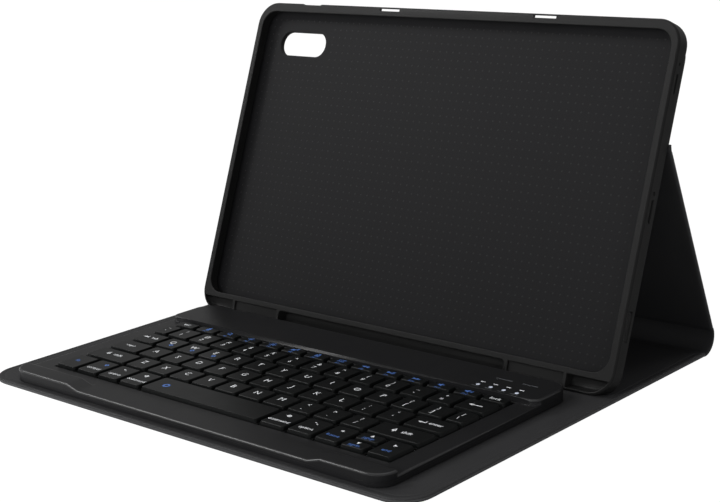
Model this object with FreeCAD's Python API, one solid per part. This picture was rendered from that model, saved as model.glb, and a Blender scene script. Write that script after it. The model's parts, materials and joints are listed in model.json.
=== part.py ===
import FreeCAD, Part
import math
import os

from FreeCAD import Placement, Rotation, Vector

# Keyboard case that folds like a book, standing open as a small laptop. Millimetres.
# +X is right, +Y is to the rear, +Z is up. The origin lies under the middle of the whole case.

# Cover panels: skin outside, stiff board in the middle, lining inside
COVER_OVERHANG = 1.0    # covers stand out past the tray's sides
COVER_CORNER_R = 14.0
SKIN_T = 0.6
BOARD_T = 1.0
LINING_T = 0.6
EDGE_WALL = 1.0         # skin turned up round the edge of the board
BOARD_PLAY = 0.1        # side play of a board in its skin
SPINE_R = 8.5           # outside radius of the bend behind the base

# Stand
TRAY_LEAN = 69.3        # degrees up from the table
KEYBOARD_TO_TRAY = 6.8  # clear strip of base between the keyboard and the tray's foot
STAND_SPAN = 91.9       # tray's foot to the rearmost point of the spine bend
FOLD_HEIGHT = 113.0     # up the tray's back to the fold line
BODY_GAP = 0.3          # clearance between surfaces that move on each other

# Tray that holds the device
DEVICE_W = 253.4
DEVICE_H = 157.4
DEVICE_T = 5.6
DEVICE_PLAY = 0.3
TRAY_WALL = 2.0
TRAY_TOP_WALL = 3.0
TRAY_FLOOR_T = 1.0
LIP_T = 0.8
LIP_W = 1.8
TRAY_CORNER_R = 12.0
FOOT_H = 8.4            # tray's lower edge to the bay

# Pen channel and side recesses in the tray's foot
PEN_LENGTH = 143.0
PEN_DEPTH = 6.4
PEN_ROOF_T = 1.0
PEN_FLOOR_T = 1.0
PEN_END_R = 2.0
FOOT_RECESS = 1.2
FOOT_RIB_T = 2.0
FOOT_RECESS_LENGTH = 30.0
POCKET_WALL = 1.4       # rim left round an end pocket
POCKET_DEPTH = 5.0

# Cut-outs of the tray
CAMERA_LENGTH = 32.0
CAMERA_WIDTH = 13.0
CAMERA_FROM_SIDE = 14.0
CAMERA_FROM_TOP = 14.0
CAMERA_MARGIN = 0.6     # the cover's window stands back from the tray's
PORT_V = 26.0
PORT_LENGTH = 13.5
PORT_WIDTH = 3.2
MIC_V = 92.0
MIC_R = 0.8
GROOVE_V = 79.0
GROOVE_LENGTH = 10.0
GROOVE_WIDTH = 1.6
GROOVE_DEPTH = 0.6
SLOT_LENGTH = 12.4
SLOT_H = 1.3
SLOT_EDGE = 0.9         # strip of wall left above a top slot
SLOT_FRONT_T = 1.6      # front lip in front of the wider part of a top slot
SLOT_FLARE = 9.0
SLOT_X = (-38.2, 56.2)
NOTCH_X = -92.4
NOTCH_LENGTH = 13.0
NOTCH_DEPTH = 0.7
NOTCH_W = 3.0
BACK_BOARD_T = 0.9
BACK_COVER_DROP = 3.2   # back cover's top edge below the tray's
BACK_COVER_INSET = 0.3  # back cover's sides in from the tray's

# Magnets
FOOT_MAGNET_L = 26.0
FOOT_MAGNET_H = 3.8
FOOT_MAGNET_W = 3.2
FOOT_MAGNET_BACK = 2.6  # behind the tray's front
MAGNET_PLAY = 0.1
DISC_R = 5.0
DISC_T = 0.9
CATCH_BAR_L = 40.0
CATCH_BAR_W = 6.0

# Keyboard case
KEYBOARD_FRONT = 3.3    # base's front edge to the keyboard
FRONT_MARGIN = 17.7
SIDE_MARGIN = 10.2
STRIP_DEPTH = 26.5      # raised strip behind the keys
KEYBOARD_CORNER_R = 9.0
PAD_T = 0.4
PAD_R = 4.0
CASE_WALL = 1.3
CASE_FLOOR_T = 0.9
PARTING_H = 1.7         # joint line between the two halves, above the keyboard's underside
DECK_H = 3.4
DECK_T = 0.9
STRIP_H = 6.0
STRIP_ROOF_T = 1.0
STRIP_END_R = 4.0
CORNER_LIP_H = 5.4
CORNER_LIP_DEPTH = 10.0
LEFT_LIP_LENGTH = 48.0
RIGHT_LIP_LENGTH = 39.0
CORNER_LIP_SLOPE = 7.0
BOSS_R = 2.0
BOSS_INSET = 5.2
SCREW_R = 0.78
SCREW_PLAY = 0.03
SCREW_LENGTH = 2.4
SCREW_HEAD_R = 1.6
SCREW_HEAD_T = 0.45

# Keys
KEY_PITCH_X = 14.94
KEY_PITCH_Y = 14.4
KEY_GAP = 1.6
KEY_TAPER = 0.6
KEY_CORNER_R = 1.0
KEY_TOP_T = 0.9
KEY_SKIRT_T = 1.0
KEY_RISE = 1.6          # key top above the deck
KEY_TRAVEL = 1.1
KEY_PLAY = 0.4          # key to the edge of its opening
BOTTOM_KEY_DEPTH = 16.2
FUNCTION_KEY_DEPTH = 6.8
ROW_UNITS = 13.9        # width of each row of keys, in key pitches
DOME_FOOT_R = 2.9
DOME_TOP_R = 1.6

# Inside the keyboard
PLATE_T = 0.6
PLATE_MARGIN = 1.0
MEMBRANE_T = 0.2
TAIL_WIDTH = 22.0
TAIL_LAP = 4.0
PCB_LENGTH = 70.0
PCB_DEPTH = 22.5
PCB_TO_END = 10.0
BATTERY_L = 70.0
BATTERY_D = 20.0
BATTERY_T = 3.4
BATTERY_TO_END = 14.0
USB_X = 46.0
USB_W = 7.4
USB_D = 5.6
USB_H = 2.6
USB_SHELL_T = 0.4
SWITCH_X = 66.0
SWITCH_W = 7.0
SWITCH_D = 3.0
SWITCH_H = 2.2
KNOB_W = 2.0
KNOB_H = 1.2
KNOB_PROUD = 0.8
KNOB_TRAVEL = 2.0
LIGHT_X = 80.5
LIGHT_PITCH = 6.9
LIGHT_COUNT = 4
LIGHT_R = 0.9
LIGHT_FROM_EDGE = 3.8   # strip's front edge to the lights
CASE_PLAY = 0.2         # inner pieces to the walls round them

# Worked out from the sizes above
PANEL_T = SKIN_T + BOARD_T + LINING_T
BACK_PANEL_T = SKIN_T + BACK_BOARD_T
CREASE_R = PANEL_T / 2

KEYS_WIDTH = ROW_UNITS * KEY_PITCH_X
KEYBOARD_WIDTH = KEYS_WIDTH + 2 * SIDE_MARGIN
HALF_KEYBOARD = KEYBOARD_WIDTH / 2
KEYS_DEPTH = BOTTOM_KEY_DEPTH + 4 * KEY_PITCH_Y + FUNCTION_KEY_DEPTH + 2 * KEY_GAP
KEYBOARD_DEPTH = FRONT_MARGIN + KEYS_DEPTH + STRIP_DEPTH

FOOT_FROM_FRONT = KEYBOARD_FRONT + KEYBOARD_DEPTH + KEYBOARD_TO_TRAY
CASE_DEPTH = FOOT_FROM_FRONT + STAND_SPAN
FRONT_Y = -CASE_DEPTH / 2
SPINE_Y = CASE_DEPTH / 2 - SPINE_R
FOOT_Y = FRONT_Y + FOOT_FROM_FRONT
FOOT_Z = PANEL_T + BODY_GAP

BAY_W = DEVICE_W + 2 * DEVICE_PLAY
BAY_H = DEVICE_H + 2 * DEVICE_PLAY
BAY_T = DEVICE_T + DEVICE_PLAY
TRAY_W = BAY_W + 2 * TRAY_WALL
COVER_WIDTH = TRAY_W + 2 * COVER_OVERHANG
HALF_COVER = COVER_WIDTH / 2
HALF_BACK = TRAY_W / 2 - BACK_COVER_INSET
TRAY_H = FOOT_H + BAY_H + TRAY_TOP_WALL
TRAY_T = TRAY_FLOOR_T + BAY_T + LIP_T
FOLD_DEPTH = TRAY_T + BODY_GAP + CREASE_R

KEYBOARD_Y0 = FRONT_Y + KEYBOARD_FRONT
KEYBOARD_Y1 = KEYBOARD_Y0 + KEYBOARD_DEPTH
KEYS_Y0 = KEYBOARD_Y0 + FRONT_MARGIN
STRIP_Y0 = KEYS_Y0 + KEYS_DEPTH
CASE_Z = PANEL_T + PAD_T
FLOOR_Z = CASE_Z + CASE_FLOOR_T
PARTING_Z = CASE_Z + PARTING_H
DECK_Z = CASE_Z + DECK_H
STRIP_Z = CASE_Z + STRIP_H
PLATE_Z = FLOOR_Z + PLATE_T
MEMBRANE_Z = PLATE_Z + MEMBRANE_T
SKIRT_Z = MEMBRANE_Z + KEY_TRAVEL + MAGNET_PLAY
KEY_TOP_Z = DECK_Z + KEY_RISE
INNER_REAR = KEYBOARD_Y1 - CASE_WALL - CASE_PLAY


# Shared shapes

def rounded_face(x0, x1, y0, y1, z, radii):
    """Flat rectangle with rounded corners: front left, front right, rear right, rear left."""
    corners = (
        (x0, y0, (0, 1), (1, 0)),
        (x1, y0, (-1, 0), (0, 1)),
        (x1, y1, (0, -1), (-1, 0)),
        (x0, y1, (1, 0), (0, -1)),
    )
    bends = []
    for (x, y, back, ahead), r in zip(corners, radii):
        cut = r * (1 - math.sqrt(0.5))
        start = Vector(x + back[0] * r, y + back[1] * r, z)
        middle = Vector(x + (back[0] + ahead[0]) * cut, y + (back[1] + ahead[1]) * cut, z)
        end = Vector(x + ahead[0] * r, y + ahead[1] * r, z)
        bends.append((start, middle, end, r))
    edges = []
    for i, (start, middle, end, r) in enumerate(bends):
        if r > 0:
            edges.append(Part.Arc(start, middle, end).toShape())
        following = bends[(i + 1) % len(bends)][0]
        edges.append(Part.LineSegment(end, following).toShape())
    return Part.Face(Part.Wire(edges))


def slab(x0, x1, y0, y1, z0, z1, radii=(0, 0, 0, 0)):
    """Plate with rounded corners between two heights."""
    return rounded_face(x0, x1, y0, y1, z0, radii).extrude(Vector(0, 0, z1 - z0))


def block(x0, x1, y0, y1, z0, z1):
    """Plain box between two corners."""
    return Part.makeBox(x1 - x0, y1 - y0, z1 - z0, Vector(x0, y0, z0))


def disc(x, y, z0, z1, r):
    """Upright cylinder between two heights."""
    return Part.makeCylinder(r, z1 - z0, Vector(x, y, z0))


def cut_all(shape, tools):
    """Shape with every tool cut away."""
    for tool in tools:
        shape = shape.cut(tool)
    return shape


def placed(shape, placement):
    """Copy of a shape carried from its own flat frame to its place in the case."""
    moved = shape.copy()
    moved.Placement = placement.multiply(shape.Placement)
    return moved


def save(name, shapes):
    """Write one named piece, or one group of like pieces, to its file."""
    shape = shapes[0] if len(shapes) == 1 else Part.makeCompound(shapes)
    shape.exportStep("parts/" + name + ".step")


# Places of the leaning pieces

def tray_place():
    """Tray frame: X across, Y up the tray, Z out of its front."""
    return Placement(Vector(0, FOOT_Y, FOOT_Z), Rotation(Vector(1, 0, 0), TRAY_LEAN))


def fold_point():
    """Point on the fold line behind the tray."""
    return tray_place().multVec(Vector(0, FOLD_HEIGHT, -FOLD_DEPTH))


def stand_shape():
    """Kickstand's slope in degrees and its length from the spine bend to the fold line."""
    fold = fold_point()
    rise = fold.z - SPINE_R
    run = SPINE_Y - fold.y
    reach = math.hypot(rise, run)
    middle_r = SPINE_R - PANEL_T / 2
    slope = math.degrees(math.atan2(rise, run) - math.asin(middle_r / reach))
    return slope, math.sqrt(reach ** 2 - middle_r ** 2)


def stand_place():
    """Kickstand frame: X across, Y from the spine to the fold, Z towards the tray."""
    slope = math.radians(stand_shape()[0])
    foot = Vector(0, SPINE_Y + SPINE_R * math.sin(slope), SPINE_R + SPINE_R * math.cos(slope))
    return Placement(foot, Rotation(Vector(1, 0, 0), 180 - math.degrees(slope)))


# Cover panels

def panel_skin(half, y0, y1, z1, radii):
    """Skin of a panel with its edges turned up round the board."""
    inner = [max(r - EDGE_WALL, 0) for r in radii]
    skin = slab(-half, half, y0, y1, 0, z1, radii)
    edge = half - EDGE_WALL
    return skin.cut(slab(-edge, edge, y0 + EDGE_WALL, y1 - EDGE_WALL, SKIN_T, z1, inner))


def panel_layer(half, y0, y1, z0, z1, radii):
    """Board or lining that lies inside a panel's turned-up edges."""
    inset = EDGE_WALL + BOARD_PLAY
    inner = [max(r - inset, 0) for r in radii]
    edge = half - inset
    return slab(-edge, edge, y0 + inset, y1 - inset, z0, z1, inner)


def keyboard_magnet_spots():
    """Middles of the magnets that hold the keyboard on the base."""
    front_y = KEYBOARD_Y0 + (FRONT_MARGIN - PLATE_MARGIN + CASE_WALL) / 2
    rear_y = STRIP_Y0 + STRIP_DEPTH / 2
    front_x = HALF_KEYBOARD * 0.6
    rear_x = DISC_R * 2.6
    return [(-front_x, front_y), (0, front_y), (front_x, front_y), (-rear_x, rear_y), (rear_x, rear_y)]


def catch_bar(x, play):
    """Room or bar in the base under one of the tray's foot magnets."""
    half_l = CATCH_BAR_L / 2 + play
    y0 = FOOT_Y + FOOT_MAGNET_BACK - play
    return block(x - half_l, x + half_l, y0, y0 + CATCH_BAR_W + 2 * play, SKIN_T, SKIN_T + DISC_T + play)


def foot_magnet_x():
    """Distance of the foot magnets from the middle of the case."""
    return PEN_LENGTH / 2 + FOOT_RIB_T + FOOT_RECESS_LENGTH / 2


def make_base():
    """Front cover that lies on the table, with what holds the keyboard and the tray on it."""
    radii = (COVER_CORNER_R, COVER_CORNER_R, 0, 0)
    board_top = SKIN_T + BOARD_T
    spots = keyboard_magnet_spots()
    bars_x = (-foot_magnet_x(), foot_magnet_x())
    holes = [disc(x, y, SKIN_T, board_top, DISC_R + MAGNET_PLAY) for x, y in spots]
    holes += [catch_bar(x, MAGNET_PLAY) for x in bars_x]
    board = panel_layer(HALF_COVER, FRONT_Y, SPINE_Y, SKIN_T, board_top, radii)
    save("base_outer_cover", [panel_skin(HALF_COVER, FRONT_Y, SPINE_Y, PANEL_T, radii)])
    save("base_stiffener_board", [cut_all(board, holes)])
    save("base_inner_lining", [panel_layer(HALF_COVER, FRONT_Y, SPINE_Y, board_top, PANEL_T, radii)])
    save("base_keyboard_magnets", [disc(x, y, SKIN_T, SKIN_T + DISC_T, DISC_R) for x, y in spots])
    save("base_foot_catch_plates", [catch_bar(x, 0) for x in bars_x])


def make_spine():
    """Bend of skin and lining that joins the base to the kickstand."""
    slope = math.radians(stand_shape()[0])
    inner_r = SPINE_R - SKIN_T - LINING_T
    first = -math.pi / 2
    last = math.pi / 2 - slope

    def at(radius, angle):
        return Vector(-HALF_COVER, SPINE_Y + radius * math.cos(angle), SPINE_R + radius * math.sin(angle))

    middle = (first + last) / 2
    edges = [
        Part.Arc(at(SPINE_R, first), at(SPINE_R, middle), at(SPINE_R, last)).toShape(),
        Part.LineSegment(at(SPINE_R, last), at(inner_r, last)).toShape(),
        Part.Arc(at(inner_r, last), at(inner_r, middle), at(inner_r, first)).toShape(),
        Part.LineSegment(at(inner_r, first), at(SPINE_R, first)).toShape(),
    ]
    save("spine_bend", [Part.Face(Part.Wire(edges)).extrude(Vector(COVER_WIDTH, 0, 0))])


def make_kickstand():
    """Lower half of the back cover, which props the tray up."""
    place = stand_place()
    y1 = stand_shape()[1] - CREASE_R - BODY_GAP
    square = (0, 0, 0, 0)
    board_top = SKIN_T + BOARD_T
    spots = [(side * HALF_COVER * 0.7, y1 * share) for side in (-1, 1) for share in (0.3, 0.75)]
    holes = [disc(x, y, SKIN_T, board_top, DISC_R + MAGNET_PLAY) for x, y in spots]
    board = cut_all(panel_layer(HALF_COVER, BODY_GAP, y1, SKIN_T, board_top, square), holes)
    lining = panel_layer(HALF_COVER, BODY_GAP, y1, board_top, PANEL_T, square)
    magnets = [disc(x, y, SKIN_T, SKIN_T + DISC_T, DISC_R) for x, y in spots]
    save("kickstand_outer_cover", [placed(panel_skin(HALF_COVER, BODY_GAP, y1, PANEL_T, square), place)])
    save("kickstand_stiffener_board", [placed(board, place)])
    save("kickstand_inner_lining", [placed(lining, place)])
    save("kickstand_magnets", [placed(magnet, place) for magnet in magnets])


# Tray

def camera_window(z0, z1, margin):
    """Long round-ended window through the tray's floor, or with a margin through the cover."""
    half_w = CAMERA_WIDTH / 2 + margin
    x0 = -TRAY_W / 2 + CAMERA_FROM_SIDE - margin
    y1 = TRAY_H - CAMERA_FROM_TOP + margin
    radii = 4 * (half_w * 0.96,)
    return slab(x0, x0 + CAMERA_LENGTH + 2 * margin, y1 - 2 * half_w, y1, z0, z1, radii)


def wall_cutouts():
    """Openings through the tray's right and top walls, in the tray's frame."""
    outside = TRAY_W / 2 + 1
    inside = BAY_W / 2 - 1
    middle = -LIP_T - BAY_T / 2
    half_port = PORT_WIDTH / 2
    half_groove = GROOVE_WIDTH / 2
    groove_x = TRAY_W / 2 - GROOVE_DEPTH
    cuts = [
        block(inside, outside, PORT_V, PORT_V + PORT_LENGTH, middle - half_port, middle + half_port),
        block(groove_x, outside, GROOVE_V, GROOVE_V + GROOVE_LENGTH, middle - half_groove, middle + half_groove),
        Part.makeCylinder(MIC_R, outside - inside, Vector(inside, MIC_V, middle), Vector(1, 0, 0)),
        block(NOTCH_X - NOTCH_LENGTH / 2, NOTCH_X + NOTCH_LENGTH / 2, TRAY_H - NOTCH_DEPTH, TRAY_H + 1, -NOTCH_W, 1),
    ]
    slot_y1 = TRAY_H - SLOT_EDGE
    for x in SLOT_X:
        half = SLOT_LENGTH / 2
        wide = half + SLOT_FLARE
        cuts.append(block(x - half, x + half, slot_y1 - SLOT_H, slot_y1, -TRAY_T - 1, 1))
        cuts.append(block(x - wide, x + wide, slot_y1 - SLOT_H, TRAY_H + 1, -TRAY_T - 1, -SLOT_FRONT_T))
    return cuts


def foot_recesses():
    """Pen channel, shallow side recesses and end pockets, open to the front, in the tray's frame."""
    roof = FOOT_H - PEN_ROOF_T
    half_pen = PEN_LENGTH / 2
    below = -TRAY_T
    ends = (0, 0, PEN_END_R, PEN_END_R)
    recesses = [slab(-half_pen, half_pen, below, roof, -PEN_DEPTH, 1, ends)]
    recess_x = half_pen + FOOT_RIB_T
    pocket_x = recess_x + FOOT_RECESS_LENGTH + FOOT_RIB_T
    edge_x = TRAY_W / 2 - POCKET_WALL
    corner_r = max(TRAY_CORNER_R - POCKET_WALL, 0.5)
    inside = slab(-edge_x, edge_x, POCKET_WALL, TRAY_H, -POCKET_DEPTH, 1, 4 * (corner_r,))
    for side in (-1, 1):
        x0, x1 = sorted((side * recess_x, side * (recess_x + FOOT_RECESS_LENGTH)))
        recesses.append(block(x0, x1, below, roof, -FOOT_RECESS, 1))
        x0, x1 = sorted((side * pocket_x, side * edge_x))
        recesses.append(block(x0, x1, POCKET_WALL, roof, -POCKET_DEPTH, 1).common(inside))
    return recesses


def foot_magnet(x, play):
    """Bar magnet, or its pocket, let into the tray's foot from the bay."""
    half_l = FOOT_MAGNET_L / 2 + play
    z1 = -FOOT_MAGNET_BACK + play
    y0 = FOOT_H - MAGNET_PLAY - FOOT_MAGNET_H - play
    return block(x - half_l, x + half_l, y0, y0 + FOOT_MAGNET_H + 2 * play, z1 - FOOT_MAGNET_W - 2 * play, z1)


def tray_shell():
    """Moulded tray in its own frame: walls, floor, front lip and foot, still without the foot's recesses."""
    half_w = TRAY_W / 2
    bay_r = max(TRAY_CORNER_R - TRAY_WALL, 0.5)
    window_r = max(bay_r - LIP_W, 0.5)
    bay_y1 = FOOT_H + BAY_H
    bay_z0 = -LIP_T - BAY_T
    edge = BAY_W / 2 - LIP_W
    shell = slab(-half_w, half_w, 0, TRAY_H, -TRAY_T, 0, 4 * (TRAY_CORNER_R,))
    bay = slab(-BAY_W / 2, BAY_W / 2, FOOT_H, bay_y1, bay_z0, -LIP_T, 4 * (bay_r,))
    window = slab(-edge, edge, FOOT_H + LIP_W, bay_y1 - LIP_W, -LIP_T, 1, 4 * (window_r,))
    pockets = [foot_magnet(side * foot_magnet_x(), MAGNET_PLAY) for side in (-1, 1)]
    openings = [bay, window, camera_window(-TRAY_T - 1, bay_z0 + 1, 0)]
    return cut_all(shell, openings + pockets + wall_cutouts())


def make_tray():
    """Tray with its flat foot, the back cover glued to it and the round of the fold."""
    place = tray_place()
    reach = TRAY_W + TRAY_H
    shell = placed(tray_shell(), place)
    shell = shell.cut(block(-reach, reach, -reach, reach, FOOT_Z - reach, FOOT_Z))
    above_floor = block(-reach, reach, -reach, reach, FOOT_Z + PEN_FLOOR_T, reach)
    for recess in foot_recesses():
        shell = shell.cut(placed(recess, place).common(above_floor))
    save("tray_shell", [shell])
    magnets = [foot_magnet(side * foot_magnet_x(), 0) for side in (-1, 1)]
    save("tray_foot_magnets", [placed(magnet, place) for magnet in magnets])

    y0 = FOLD_HEIGHT + CREASE_R + BODY_GAP
    y1 = TRAY_H - BACK_COVER_DROP
    radii = (0, 0, COVER_CORNER_R, COVER_CORNER_R)
    behind = Placement(Vector(0, 0, -TRAY_T - BACK_PANEL_T), Rotation())
    window = camera_window(-1, BACK_PANEL_T + 1, CAMERA_MARGIN)
    board_window = camera_window(-1, BACK_PANEL_T + 1, CAMERA_MARGIN + BOARD_PLAY)
    skin = panel_skin(HALF_BACK, y0, y1, BACK_PANEL_T, radii).cut(window)
    board = panel_layer(HALF_BACK, y0, y1, SKIN_T, BACK_PANEL_T, radii).cut(board_window)
    save("upper_back_cover", [placed(placed(skin, behind), place)])
    save("upper_back_board", [placed(placed(board, behind), place)])
    fold = fold_point()
    crease = Part.makeCylinder(CREASE_R, COVER_WIDTH, Vector(-HALF_COVER, fold.y, fold.z), Vector(1, 0, 0))
    save("fold_crease", [crease])


# Keyboard

def key_table():
    """Rows of keys by group: each key is x0, x1, y0, y1 of its cell without the gaps round it."""
    def row(widths, y0, depth):
        cells = []
        x = -KEYS_WIDTH / 2
        for units in widths:
            cells.append((x, x + units * KEY_PITCH_X, y0, y0 + depth))
            x += units * KEY_PITCH_X
        return cells

    bottom = [1, 1, 1, 1, 5.0, 1.05, 1.03, 0.94, 0.94, 0.94]
    bottom_cells = row(bottom, KEYS_Y0, BOTTOM_KEY_DEPTH)
    left, middle, right = bottom_cells[7:]
    split = (middle[2] + middle[3]) / 2
    down = (middle[0], middle[1], middle[2], split - KEY_GAP / 2)
    up = (middle[0], middle[1], split + KEY_GAP / 2, middle[3])

    y = KEYS_Y0 + BOTTOM_KEY_DEPTH + KEY_GAP
    depth = KEY_PITCH_Y - KEY_GAP
    return {
        "modifier_keys": bottom_cells[:4] + bottom_cells[5:7],
        "space_bar": bottom_cells[4:5],
        "arrow_keys": [left, down, up, right],
        "lower_letter_keys": row([1.92] + 10 * [1] + [1.98], y, depth),
        "home_letter_keys": row([1.41] + 11 * [1] + [1.49], y + KEY_PITCH_Y, depth),
        "upper_letter_keys": row([1.14] + 12 * [1] + [0.76], y + 2 * KEY_PITCH_Y, depth),
        "number_keys": row([0.68] + 12 * [1] + [1.22], y + 3 * KEY_PITCH_Y, depth),
        "function_keys": row(14 * [ROW_UNITS / 14], y + 4 * KEY_PITCH_Y, FUNCTION_KEY_DEPTH),
    }


def key_box(cell, inset):
    """Sides of a key's footprint, drawn in from the sides of its cell."""
    x0, x1, y0, y1 = cell
    side = KEY_GAP / 2 + inset
    return x0 + side, x1 - side, y0 + inset, y1 - inset


def keycap(cell):
    """Hollow keycap that narrows towards its top."""
    foot = rounded_face(*key_box(cell, 0), SKIRT_Z, 4 * (KEY_CORNER_R,)).OuterWire
    top = rounded_face(*key_box(cell, KEY_TAPER), KEY_TOP_Z, 4 * (KEY_CORNER_R,)).OuterWire
    cap = Part.makeLoft([foot, top], True, True)
    return cap.cut(block(*key_box(cell, KEY_TAPER + KEY_SKIRT_T), SKIRT_Z - 1, KEY_TOP_Z - KEY_TOP_T))


def dome(cell):
    """Rubber dome under the middle of a key."""
    x = (cell[0] + cell[1]) / 2
    y = (cell[2] + cell[3]) / 2
    height = KEY_TOP_Z - KEY_TOP_T - MAGNET_PLAY - MEMBRANE_Z
    x0, x1, y0, y1 = key_box(cell, KEY_TAPER + KEY_SKIRT_T + MAGNET_PLAY)
    foot_r = min(DOME_FOOT_R, (x1 - x0) / 2, (y1 - y0) / 2)
    top_r = foot_r * DOME_TOP_R / DOME_FOOT_R
    return Part.makeCone(foot_r, top_r, height, Vector(x, y, MEMBRANE_Z))


def keyboard_slab(inset, z0, z1):
    """Plate with the keyboard's outline, drawn in by an inset."""
    half = HALF_KEYBOARD - inset
    radii = 4 * (KEYBOARD_CORNER_R - inset,)
    return slab(-half, half, KEYBOARD_Y0 + inset, KEYBOARD_Y1 - inset, z0, z1, radii)


def boss_spots():
    """Middles of the six screw bosses along the two sides of the keyboard."""
    x = HALF_KEYBOARD - BOSS_INSET
    front = KEYBOARD_Y0 + KEYBOARD_CORNER_R
    rear = KEYBOARD_Y1 - KEYBOARD_CORNER_R
    return [(side * x, y) for side in (-1, 1) for y in (front, (front + rear) / 2, rear)]


def usb_room(play):
    """Outside of the charging socket, or the opening for it in the rear wall."""
    half_w = USB_W / 2 + play
    z1 = PLATE_Z + USB_H + play
    return block(USB_X - half_w, USB_X + half_w, KEYBOARD_Y1 - USB_D, KEYBOARD_Y1 + play, PLATE_Z - play, z1)


def knob_room(play, travel):
    """Power switch's knob, or the slot it slides in."""
    x0 = SWITCH_X - (KNOB_W + KNOB_TRAVEL) / 2 - play
    y0 = INNER_REAR + BODY_GAP - CASE_PLAY
    z0 = PLATE_Z + (SWITCH_H - KNOB_H) / 2 - play
    return block(x0, x0 + KNOB_W + travel + 2 * play, y0, KEYBOARD_Y1 + KNOB_PROUD, z0, z0 + KNOB_H + 2 * play)


def light_spots():
    """Middles of the status lights on the strip."""
    y = STRIP_Y0 + LIGHT_FROM_EDGE
    return [(LIGHT_X + i * LIGHT_PITCH, y) for i in range(LIGHT_COUNT)]


def bottom_cover():
    """Lower half of the keyboard's case, with countersunk screw holes."""
    cover = keyboard_slab(0, CASE_Z, PARTING_Z)
    cuts = [keyboard_slab(CASE_WALL, FLOOR_Z, PARTING_Z), usb_room(CASE_PLAY)]
    for x, y in boss_spots():
        cuts.append(disc(x, y, CASE_Z, FLOOR_Z, SCREW_R + CASE_PLAY))
        cuts.append(disc(x, y, CASE_Z, CASE_Z + SCREW_HEAD_T, SCREW_HEAD_R + CASE_PLAY))
    return cut_all(cover, cuts)


def corner_lip(side, length):
    """Raised lip at a front corner, square outside, with an inner end that slopes down to the deck."""
    outer = side * HALF_KEYBOARD
    end = side * (HALF_KEYBOARD - length)
    crest = end + side * CORNER_LIP_SLOPE
    top = CASE_Z + CORNER_LIP_H
    outline = [(outer, PARTING_Z), (end, PARTING_Z), (end, DECK_Z), (crest, top), (outer, top), (outer, PARTING_Z)]
    wire = Part.makePolygon([Vector(x, KEYBOARD_Y0, z) for x, z in outline])
    return Part.Face(wire).extrude(Vector(0, CORNER_LIP_DEPTH, 0))


def top_case(keys):
    """Upper half of the keyboard's case: deck, raised rear strip, raised front corners and bosses."""
    inner_y0 = STRIP_Y0 + CASE_WALL
    strip_radii = (STRIP_END_R, STRIP_END_R, KEYBOARD_CORNER_R, KEYBOARD_CORNER_R)
    strip = slab(-HALF_KEYBOARD, HALF_KEYBOARD, STRIP_Y0, KEYBOARD_Y1, PARTING_Z, STRIP_Z, strip_radii)
    lip_zone = corner_lip(-1, LEFT_LIP_LENGTH).fuse(corner_lip(1, RIGHT_LIP_LENGTH))
    lips = keyboard_slab(0, PARTING_Z, CASE_Z + CORNER_LIP_H).common(lip_zone)
    case = keyboard_slab(0, PARTING_Z, DECK_Z).fuse([strip, lips])
    hollow = keyboard_slab(CASE_WALL, PARTING_Z, DECK_Z - DECK_T)
    under_strip = keyboard_slab(CASE_WALL, PARTING_Z, STRIP_Z - STRIP_ROOF_T).common(
        block(-HALF_KEYBOARD, HALF_KEYBOARD, inner_y0, KEYBOARD_Y1, PARTING_Z, STRIP_Z))
    case = cut_all(case, [hollow, under_strip])
    case = case.fuse([disc(x, y, FLOOR_Z, DECK_Z - DECK_T, BOSS_R) for x, y in boss_spots()])
    case = case.fuse([disc(x, y, DECK_Z - DECK_T, STRIP_Z - STRIP_ROOF_T, BOSS_R)
                      for x, y in boss_spots() if y > STRIP_Y0])
    openings = [block(*key_box(cell, -KEY_PLAY), DECK_Z - DECK_T - 1, DECK_Z + 1)
                for cells in keys.values() for cell in cells]
    holes = [disc(x, y, STRIP_Z - STRIP_ROOF_T - 1, STRIP_Z + 1, LIGHT_R + CASE_PLAY / 2) for x, y in light_spots()]
    pilot_top = CASE_Z + SCREW_LENGTH + MAGNET_PLAY
    pilots = [disc(x, y, FLOOR_Z, pilot_top, SCREW_R + SCREW_PLAY) for x, y in boss_spots()]
    rear = [usb_room(CASE_PLAY), knob_room(BODY_GAP, KNOB_TRAVEL)]
    return cut_all(case, [Part.makeCompound(openings)] + holes + pilots + rear)


def make_keyboard_case(keys):
    """Both halves of the keyboard's case with their screws, pads and magnets."""
    save("keyboard_bottom_cover", [bottom_cover()])
    save("keyboard_top_case", [top_case(keys)])
    screws = []
    for x, y in boss_spots():
        shank = disc(x, y, CASE_Z, CASE_Z + SCREW_LENGTH, SCREW_R)
        screws.append(shank.fuse(disc(x, y, CASE_Z, CASE_Z + SCREW_HEAD_T, SCREW_HEAD_R)).removeSplitter())
    save("case_screws", screws)
    pad_x = HALF_KEYBOARD - BOSS_INSET - SCREW_HEAD_R - 2 * PAD_R
    pad_y = (KEYBOARD_Y0 + 3 * PAD_R, KEYBOARD_Y1 - 3 * PAD_R)
    pads = [disc(side * pad_x, y, PANEL_T, CASE_Z, PAD_R) for side in (-1, 1) for y in pad_y]
    save("keyboard_pads", pads)
    save("keyboard_magnets", [disc(x, y, FLOOR_Z, FLOOR_Z + DISC_T, DISC_R) for x, y in keyboard_magnet_spots()])


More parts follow.
